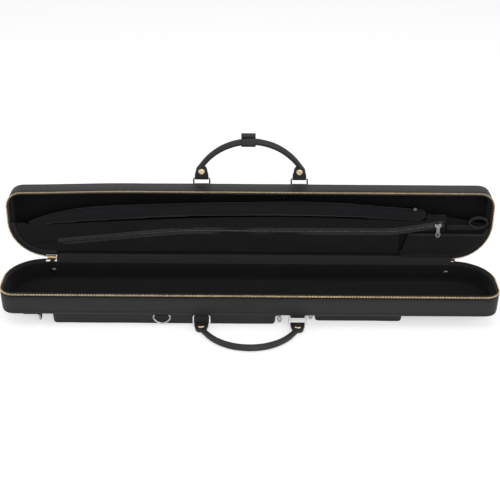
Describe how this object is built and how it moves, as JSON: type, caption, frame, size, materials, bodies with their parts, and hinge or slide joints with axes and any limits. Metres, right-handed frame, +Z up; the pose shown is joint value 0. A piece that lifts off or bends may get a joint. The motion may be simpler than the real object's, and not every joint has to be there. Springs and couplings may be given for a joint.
{
  "type": "pool cue case",
  "caption": "Hinged zip-closed hard case for cue halves, with padded divider, outer pockets, carry handles and strap rings.",
  "frame": {"origin": "on the floor plane, under the centre of the base, on the outer face of the long pocket that the case stands on", "axes": "+X along the case to the right as seen from the front, -Y to the front, +Z up; the lid stands open at the back"},
  "size_m": [0.8488, 0.2602, 0.2819],
  "materials": {
    "shell_leather": "black grained leatherette",
    "grip_leather": "black leatherette, satin",
    "keeper_leather": "dark leatherette",
    "binding": "black binding tape",
    "webbing": "black webbing",
    "lining": "black woven lining",
    "panel_fabric": "black padded nylon",
    "sleeve_fabric": "black padded nylon",
    "hook_fabric": "dark grey hook tape",
    "zip_tape": "black zip tape",
    "gold_teeth": "pale gold metal teeth",
    "dark_teeth": "dark metal teeth",
    "gold_metal": "worn pale brass",
    "rivet_metal": "polished pale brass",
    "ring_metal": "polished",
    "dark_metal": "dark polished",
    "puller_metal": "satin pale metal",
    "foot_rubber": "matte black"
  },
  "bodies": {
    "base": {"base_shell": "shell_leather", "base_rim_binding": "binding", "base_zip_tape": "zip_tape", "base_zip_teeth": "gold_teeth", "base_lining": "lining", "base_hinge_leaf": "binding", "base_spine_feet": "foot_rubber", "base_foot_caps": "dark_metal", "base_handle_loops": "webbing", "long_pocket": "shell_leather", "long_pocket_zip_tape": "zip_tape", "long_pocket_zip_teeth": "dark_teeth", "short_pocket": "shell_leather", "short_pocket_zip_tape": "zip_tape", "short_pocket_zip_teeth": "dark_teeth", "strap_ring_tab": "webbing", "end_strap_tab": "webbing"},
    "lid": {"lid_shell": "shell_leather", "lid_rim_binding": "binding", "lid_zip_tape": "zip_tape", "lid_zip_teeth": "gold_teeth", "lid_lining": "lining", "lid_hinge_leaf": "binding", "lid_spine_feet": "foot_rubber", "lid_foot_caps": "dark_metal", "lid_handle_loops": "webbing", "cue_sleeve": "sleeve_fabric", "divider_board": "lining", "divider_panel": "panel_fabric", "lower_pocket_panel": "panel_fabric", "inner_zip_tape": "zip_tape", "inner_zip_teeth": "dark_teeth", "accessory_pocket": "panel_fabric", "left_hem": "binding", "right_hem": "binding", "rolled_loop": "webbing", "strap_band": "webbing", "sleeve_snap": "dark_metal"},
    "base_rings": {"base_handle_rings": "ring_metal"},
    "base_handle": {"base_handle_tabs": "shell_leather", "base_handle_rivets": "rivet_metal", "base_handle_grip": "grip_leather"},
    "lid_rings": {"lid_handle_rings": "ring_metal"},
    "lid_handle": {"lid_handle_tabs": "shell_leather", "lid_handle_rivets": "rivet_metal", "lid_handle_grip": "grip_leather"},
    "keeper": {"handle_keeper": "keeper_leather", "keeper_hook_patch": "hook_fabric"},
    "strap_ring_body": {"strap_ring": "ring_metal"},
    "end_ring_body": {"end_strap_ring": "ring_metal"},
    "main_slider_body": {"main_slider": "gold_metal"},
    "main_puller_body": {"main_puller": "gold_metal"},
    "inner_slider_body": {"inner_slider": "puller_metal"},
    "inner_puller_body": {"inner_puller": "puller_metal"},
    "long_slider_body": {"long_pocket_slider": "dark_metal"},
    "long_puller_body": {"long_pocket_puller": "puller_metal"},
    "short_slider_body": {"short_pocket_slider": "dark_metal"},
    "short_puller_body": {"short_pocket_puller": "puller_metal"}
  },
  "joints": [
    {"name": "lid_hinge", "type": "hinge", "parent": "base", "child": "lid", "pos_m": [0, 0.065, 0.064], "axis": [1, 0, 0], "range_deg": [-35, 90]},
    {"name": "base_rings_swing", "type": "hinge", "parent": "base", "child": "base_rings", "pos_m": [0, -0.058, 0.0199], "axis": [1, 0, 0], "range_deg": [-60, 25]},
    {"name": "base_handle_swing", "type": "hinge", "parent": "base_rings", "child": "base_handle", "pos_m": [0, -0.06475, 0.00821], "axis": [1, 0, 0], "range_deg": [-25, 60]},
    {"name": "lid_rings_swing", "type": "hinge", "parent": "lid", "child": "lid_rings", "pos_m": [0, 0.1091, 0.187], "axis": [1, 0, 0], "range_deg": [-60, 10]},
    {"name": "lid_handle_swing", "type": "hinge", "parent": "lid_rings", "child": "lid_handle", "pos_m": [0, 0.1091, 0.2005], "axis": [1, 0, 0], "range_deg": [-60, 60]},
    {"name": "keeper_swing", "type": "hinge", "parent": "lid_handle", "child": "keeper", "pos_m": [-0.004, 0.1091, 0.2688], "axis": [1, 0, 0], "range_deg": [-60, 60]},
    {"name": "strap_ring_swing", "type": "hinge", "parent": "base", "child": "strap_ring_body", "pos_m": [-0.149, -0.058, 0.0199], "axis": [1, 0, 0], "range_deg": [-85, 5]},
    {"name": "end_ring_swing", "type": "hinge", "parent": "base", "child": "end_ring_body", "pos_m": [-0.356, -0.051, 0.0199], "axis": [0, 1, 0], "range_deg": [-60, 60]},
    {"name": "main_slider_slide", "type": "slide", "parent": "base", "child": "main_slider_body", "axis": [-1, 0, 0], "range_m": [0, 0.0044]},
    {"name": "main_puller_swing", "type": "hinge", "parent": "main_slider_body", "child": "main_puller_body", "pos_m": [-0.3508, 0.0684, 0.0554], "axis": [1, 0, 0], "range_deg": [0, 60]},
    {"name": "inner_slider_slide", "type": "slide", "parent": "lid", "child": "inner_slider_body", "axis": [-0.9806, 0, -0.1961], "range_m": [0, 0.05]},
    {"name": "inner_puller_swing", "type": "hinge", "parent": "inner_slider_body", "child": "inner_puller_body", "pos_m": [0.328, 0.0628, 0.1316], "axis": [0, 1, 0], "range_deg": [-60, 60]},
    {"name": "long_pocket_slider_slide", "type": "slide", "parent": "base", "child": "long_slider_body", "axis": [0, 1, 0], "range_m": [0, 0.082]},
    {"name": "long_pocket_puller_swing", "type": "hinge", "parent": "long_slider_body", "child": "long_puller_body", "pos_m": [0.05128, -0.0472, 0.016], "axis": [0, 1, 0], "range_deg": [-60, 5]},
    {"name": "short_pocket_slider_slide", "type": "slide", "parent": "base", "child": "short_slider_body", "axis": [0, 1, 0], "range_m": [0, 0.07]},
    {"name": "short_pocket_puller_swing", "type": "hinge", "parent": "short_slider_body", "child": "short_puller_body", "pos_m": [0.10472, -0.0352, 0.016], "axis": [0, 1, 0], "range_deg": [-5, 60]}
  ]
}
